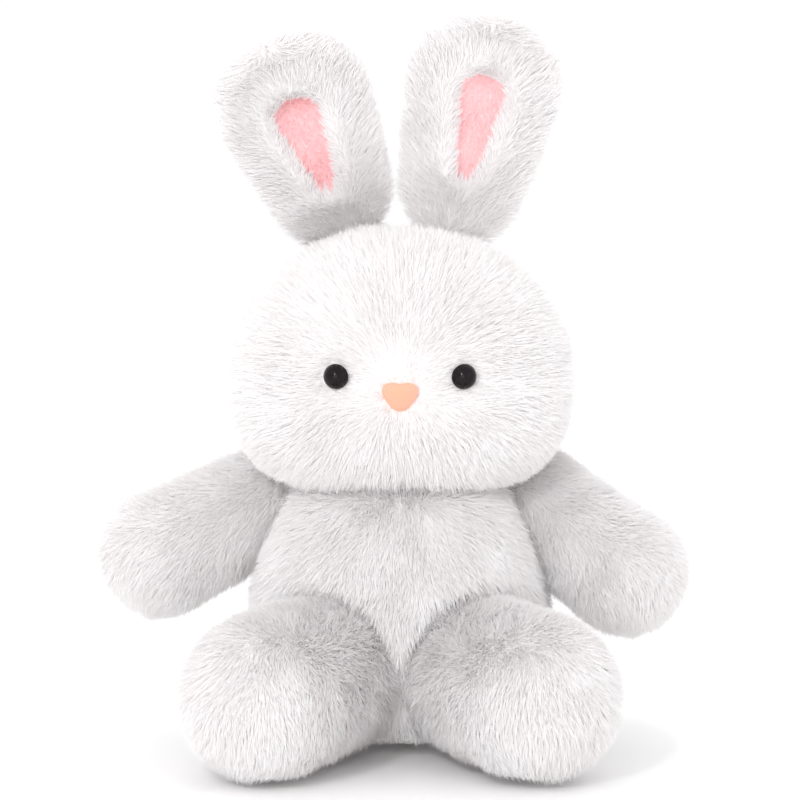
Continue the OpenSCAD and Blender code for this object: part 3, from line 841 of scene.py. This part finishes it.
for side in (1, -1):
    for rear in (False, True):
        name = f"torso{'Back' if rear else 'Front'}{sideName[side].title()}Fur"
        node = f"torso_{'back' if rear else 'front'}_{sideName[side]}"
        mask = (centres[:, 0] * side > 0) & ((centres[:, 1] > 0) == rear) & ~base
        furnish(growFur(torso, name, full * mask, furLook), "torso", "fur_white", node)
print("torso done")

neckLook = {"ball": 26, "furBelow": 14 * mm, "furBand": 10 * mm}
neckFur = {**furLook, "Density": 700000, "Length": 6 * mm}
neck = roundBlank("neckCushion", 4, lambda u: neckSpot + u * neckLook["ball"] * mm)
combSkin(neck, lambda co, no: np.tile((0, 0, -1.0), (len(co), 1)), lambda co, no: np.ones(len(co)))
dress(neck, "backing")
furnish(neck, "neck", "fur_white", "neck_stuffing")
height = faceCentres(neck.data)[:, 2] - neckSpot[2]
neckBand = np.abs(height + neckLook["furBelow"]) < neckLook["furBand"]
furnish(growFur(neck, "neckFur", 1.0 * neckBand, neckFur), "neck", "fur_white")


def limb(side, kind, look, start, way, rootRadius, tipRadius, body, panels, seamAxis):
    # seamAxis points across the seam that splits the limb's cover in two
    name = f"{sideName[side]}{kind}"
    tip = np.array(start) + way * look["length"]
    start = np.array(start) + np.array(look["raise"]) * (side, 1, 1)
    way = unit(tip - start)
    length = np.linalg.norm(tip - start)
    cushion = roundBlank(f"{name}Cushion", 5, lambda u: capsulePoints(
        u, start, way, rootRadius + look["fuller"] - fabric, tipRadius - fabric, length))
    co = coords(cushion.data)
    offset = (co - np.array(start)) @ seamAxis
    plump(cushion, np.abs(offset) < limbLook["seam"], fillLook["pressure"], fillLook["limbSwell"])
    smoothMesh(cushion.data, 1)
    if kind == "Leg":
        co = coords(cushion.data)
        co[:, 2] = np.maximum(co[:, 2], limbLook["sole"])
        setCoords(cushion.data, co)

    def flow(co, no):
        beyond = smoothstep(0, tipRadius * 0.8, (co - tip) @ way)[:, None]
        down = np.array([0, 0, -1.0])
        return (way + limbLook["sag"] * down) * (1 - beyond) + (down + 0.5 * unit(co - tip)) * beyond

    def pile(co, no):
        return 1 - limbLook["soleShorter"] * smoothstep(limbLook["soleTop"], limbLook["sole"], co[:, 2])

    combSkin(cushion, flow, pile)
    centres = faceCentres(cushion.data)
    fromRoot = ((centres - start) @ way) / rootRadius
    full = limbLook["rootPile"] + (1 - limbLook["rootPile"]) * smoothstep(-0.8, -0.3, fromRoot)
    across = (centres - np.array(start)) @ seamAxis
    parted = smoothstep(0, limbLook["seamPart"], np.abs(across))
    full *= limbLook["seamPile"] + (1 - limbLook["seamPile"]) * parted
    dress(cushion, "backing")
    furnish(cushion, body, "fur_white", f"{sideName[side]}_{kind.lower()}_stuffing")
    for end, panel in ((-1, panels[0]), (1, panels[1])):
        fur = growFur(cushion, f"{name}{panel.title()}Fur", full * (across * end > 0), furLook)
        furnish(fur, body, "fur_white", f"{sideName[side]}_{kind.lower()}_{panel}")


for side in (1, -1):
    way = armWay(side)
    across = unit(np.array([0, 1, 0]) - way * way[1])
    limb(side, "Arm", armLook, shoulders[side], way, armLook["root"], armLook["hand"],
         f"{sideName[side]}_arm", ("front", "back"), across)
    way = legWay(side)
    across = unit(np.array([side, 0, 0]) - way * way[0] * side)
    limb(side, "Leg", legLook, hips[side], way, legLook["root"], legLook["foot"],
         f"{sideName[side]}_leg", ("inner", "outer"), across)
print("limbs done")


earLook = {"lean": {1: 12, -1: 23}, "tip": {1: 0, -1: 20}, "baseRadius": 29 * mm, "tipRadius": 37 * mm,
           "baseZ": 16 * mm, "tipZ": 65.5 * mm, "middle": 48 * mm, "half": 13.5 * mm, "flatter": 3.5 * mm,
           "recess": 7 * mm, "rim": 1.5, "seam": 0.6 * mm, "thinnerBelow": 34 * mm,
           "slot": {"lowZ": 27 * mm, "lowRadius": 4 * mm, "highZ": 61 * mm, "highRadius": 11 * mm}}


liningPile = {"Density": 3000000, "Length": 4 * mm, "Width": 0.45 * mm, "Lift": 0.6, "Mess": 0.3,
              "Droop": 0.1, "Clump": 0.3, "Clump Size": 2.5 * mm}
earComb = {"outward": 0.8, "curl": 1.1, "inward": 0.2, "slotShorter": 0.45, "baseShorter": 0.25}


def dropShape(x, z, lowZ, lowRadius, highZ, highRadius):
    # signed distance to a drop: a small circle and a large one, joined by their tangents
    x, z, h = np.abs(x), z - lowZ, highZ - lowZ
    b = (lowRadius - highRadius) / h
    a = math.sqrt(1 - b * b)
    k = -b * x + a * z
    low = np.hypot(x, z) - lowRadius
    high = np.hypot(x, z - h) - highRadius
    side = x * a + z * b - lowRadius
    return np.where(k < 0, low, np.where(k > a * h, high, side))


def placeEar(u):
    base, tip = earLook["baseRadius"] - fabric, earLook["tipRadius"] - fabric
    middle = earLook["middle"]
    flat = unit(np.stack([u[:, 0], u[:, 2]], 1) + 1e-9)
    low, high = np.zeros(len(u)), np.full(len(u), 100 * mm)
    for _ in range(24):
        mid = (low + high) / 2
        d = dropShape(flat[:, 0] * mid, middle + flat[:, 1] * mid, earLook["baseZ"], base,
                      earLook["tipZ"], tip)
        low, high = np.where(d < 0, mid, low), np.where(d < 0, high, mid)
    share = np.sqrt(np.maximum(1 - np.abs(u[:, 1]) ** 2.0, 0)) ** 0.92
    half = earLook["half"] - earLook["flatter"]
    y = np.sign(u[:, 1]) * half * np.abs(u[:, 1]) ** 0.7
    z = middle + flat[:, 1] * low * share
    y *= 0.55 + 0.45 * smoothstep(0, earLook["thinnerBelow"], z)
    return np.stack([flat[:, 0] * low * share, y, z], 1)


def earRecess(co):
    d = dropShape(co[:, 0], co[:, 2], **earLook["slot"])
    push = smoothstep(5 * mm, -2.5 * mm, d) * (co[:, 1] < 0)
    rim = smoothstep(16 * mm, 6 * mm, d) * smoothstep(1 * mm, 6 * mm, d) * (co[:, 1] < 0)
    co = co.copy()
    co[:, 1] += push * earLook["recess"] - rim * earLook["rim"] * mm
    return co, d


for side in (1, -1):
    name = sideName[side]
    lean = math.radians(earLook["lean"][side])
    toWorld = (Matrix.Translation(earSpot[side]) @ Matrix.Rotation(side * lean, 4, "Y")
               @ Matrix.Rotation(math.radians(earLook["tip"][side]), 4, "X"))
    ear = roundBlank(f"{name}EarCushion", 5, placeEar)
    plump(ear, np.abs(coords(ear.data)[:, 1]) < earLook["seam"], fillLook["earPressure"],
          fillLook["earSwell"])
    smoothMesh(ear.data, 1)
    co, d = earRecess(coords(ear.data))
    setCoords(ear.data, co)
    smoothMesh(ear.data, 1)
    local = coords(ear.data)
    ear.data.transform(toWorld)
    turn = np.array(toWorld.to_3x3())

    def earFlow(co, no, local=local, d=d, turn=turn):
        way = np.tile(np.array([0, 0, 1.0]), (len(co), 1))
        way[:, 0] += local[:, 0] / (30 * mm) * earComb["outward"]
        way[:, 2] -= earComb["curl"] * smoothstep(75 * mm, 95 * mm, local[:, 2])
        near = (smoothstep(11 * mm, 2 * mm, d) * (local[:, 1] < 0))[:, None]
        inward = -unit(np.stack([local[:, 0], 0 * d, local[:, 2] - 47 * mm], 1) + 1e-9)
        way = way * (1 - near) + (inward * earComb["inward"] + np.array([0, 0, 0.5])) * near
        return way @ turn.T

    def earPile(co, no, local=local, d=d):
        short = smoothstep(9 * mm, 1 * mm, d) * (local[:, 1] < 0)
        low = smoothstep(12 * mm, 0, local[:, 2])
        return 1 - earComb["slotShorter"] * short - earComb["baseShorter"] * low

    combSkin(ear, earFlow, earPile)
    centres = faceCentres(ear.data)
    inEar = (np.array(toWorld.inverted().to_3x3()) @ (centres - np.array(earSpot[side])).T).T
    front = inEar[:, 1] < 0
    pink = front & (dropShape(inEar[:, 0], inEar[:, 2], **earLook["slot"]) < 1.0 * mm)
    dress(ear, "backing", "pinkBacking")
    ear.data.polygons.foreach_set("material_index", pink.astype(np.int32))
    ear.data.update()
    furnish(ear, f"{name}_ear", "fur_white", f"{name}_ear_stuffing")
    furnish(growFur(ear, f"{name}EarFrontFur", 1.0 * (front & ~pink), furLook),
            f"{name}_ear", "fur_white", f"{name}_ear_front")
    furnish(growFur(ear, f"{name}EarBackFur", 1.0 * ~front, furLook),
            f"{name}_ear", "fur_white", f"{name}_ear_back")
    furnish(growFur(ear, f"{name}EarLiningPile", 1.0 * pink, liningPile, "pinkPile"),
            f"{name}_ear", "ear_lining_pink", f"{name}_ear_lining")
print("ears done")


tailLook = {"root": 8 * mm, "pompom": 16 * mm, "length": 19 * mm, "sag": 0.4, "bareRoot": -9 * mm,
            "fullFrom": -3 * mm}
tailPile = {**furLook, "Density": 2600000, "Length": 10 * mm, "Lift": 1.3, "Mess": 0.5}
tailRoot = np.array(pivot["tail_wag"])
tail = roundBlank("tailCushion", 4, lambda u: capsulePoints(
    u, tailRoot, (0, 1, 0), tailLook["root"], tailLook["pompom"], tailLook["length"]))
combSkin(tail, lambda co, no: np.tile((0, 0, -tailLook["sag"]), (len(co), 1)),
         lambda co, no: np.ones(len(co)))
dress(tail, "backing")
furnish(tail, "tail", "fur_white", "tail_stuffing")
centres = faceCentres(tail.data)
tailFull = smoothstep(tailLook["bareRoot"], tailLook["fullFrom"], centres[:, 1] - tailRoot[1])
furnish(growFur(tail, "tailFur", tailFull, tailPile), "tail", "fur_white", "tail_cover")


noseLook = {"width": 16.3 * mm, "height": 14 * mm, "depth": 6 * mm, "corners": 0.11, "dip": 0.1,
            "dipSpread": 0.35, "wrap": 0.012, "tilt": 14, "back": 1.8 * mm, "up": 0.5 * mm}


def placeNose(u):
    angle = np.arctan2(u[:, 2], u[:, 0])
    dip = np.exp(-((angle - math.pi / 2) / noseLook["dipSpread"]) ** 2)
    drop = 1 + noseLook["corners"] * np.cos(3 * (angle - math.pi / 6)) - noseLook["dip"] * dip
    co = np.stack([u[:, 0] * drop * noseLook["width"] / 2, u[:, 1] * noseLook["depth"] / 2 * 1.1,
                   u[:, 2] * drop * noseLook["height"] / 2], 1)
    co[:, 1] += noseLook["wrap"] * (co[:, 0] / mm) ** 2 * mm
    tilt = Matrix.Rotation(math.radians(noseLook["tilt"]), 3, "X")
    return co @ np.array(tilt).T + noseSpot + np.array([0, noseLook["back"], noseLook["up"]])


nose = roundBlank("flockedNose", 5, placeNose)
dress(nose, "flock")
furnish(nose, "head", "nose_flock", "nose")


nodeFinish = {"left_eye": "eye", "right_eye": "eye", "left_eye_washer": "washer",
              "right_eye_washer": "washer", "nose_washer": "washer", "pellet_pouch": "cotton",
              "pellets": "pellet", "care_label": "ribbon", "left_shoulder_stitch": "thread",
              "right_shoulder_stitch": "thread", "left_hip_stitch": "thread", "right_hip_stitch": "thread"}
for name, look in nodeFinish.items():
    dress(frame["nodes"][name], look)

dropObject(strand)


roomLook = {"floor": (0.99, 0.985, 0.985), "floorHalf": 6, "floorRoughness": 0.7, "sky": 1.04}
lamps = {"keyLight": {"spot": (-0.9, -1.3, 1.5), "size": 0.9, "power": 1.5},
         "fillLight": {"spot": (1.4, -1.0, 0.6), "size": 1.2, "power": 1.5},
         "frontLight": {"spot": (-0.4, -2.2, 0.3), "size": 1.2, "power": 8, "target": (0, 0, 0.08)},
         "sparkLight": {"spot": (-0.35, -1.2, 0.75), "size": 0.12, "power": 4},
         "backLight": {"spot": (0.6, 2.2, 0.9), "size": 1.2, "power": 4},
         "topLight": {"spot": (0.2, 0.8, 1.6), "size": 0.9, "power": 0.5}}

bm = bmesh.new()
bmesh.ops.create_grid(bm, x_segments=1, y_segments=1, size=roomLook["floorHalf"])
floor = objectFromBmesh("floor", bm)
material, tree, shader = newMaterial("paleFloor")
addTone(tree, shader, roomLook["floor"], tuple(c - 0.01 for c in roomLook["floor"]), 3, 60)
shader.inputs["Roughness"].default_value = roomLook["floorRoughness"]
floor.data.materials.append(material)

world = bpy.data.worlds.new("paleRoom")
world.use_nodes = True
world.node_tree.nodes["Background"].inputs["Color"].default_value = (1, 1, 1, 1)
world.node_tree.nodes["Background"].inputs["Strength"].default_value = roomLook["sky"]
bpy.context.scene.world = world


def addArea(name, spot, size, power, target=(0, 0, 0.17)):
    light = bpy.data.lights.new(name, "AREA")
    light.shape = "SQUARE"
    light.size = size
    light.energy = power
    lamp = bpy.data.objects.new(name, light)
    lamp.location = spot
    lamp.rotation_euler = (Vector(target) - Vector(spot)).to_track_quat("-Z", "Y").to_euler()
    bpy.context.scene.collection.objects.link(lamp)


for name, lamp in lamps.items():
    addArea(name, **lamp)
print("room lit with", len(lamps), "lamps")

view = {"distance": 1.8, "elevation": 6, "aim": Vector((0, 0, 0.1645)), "lens": 169}
camera = bpy.data.objects.new("camera", bpy.data.cameras.new("camera"))
bpy.context.scene.collection.objects.link(camera)
angle = math.radians(view["elevation"])
camera.location = view["aim"] + view["distance"] * Vector((0, -math.cos(angle), math.sin(angle)))
camera.rotation_euler = (view["aim"] - camera.location).to_track_quat("-Z", "Y").to_euler()
camera.data.lens = view["lens"]
camera.data.sensor_width = 36
camera.data.dof.use_dof = False
bpy.context.scene.camera = camera
bpy.context.scene.view_settings.view_transform = "Standard"
bpy.context.scene.cycles.diffuse_bounces = 8
bpy.context.scene.cycles.max_bounces = 16
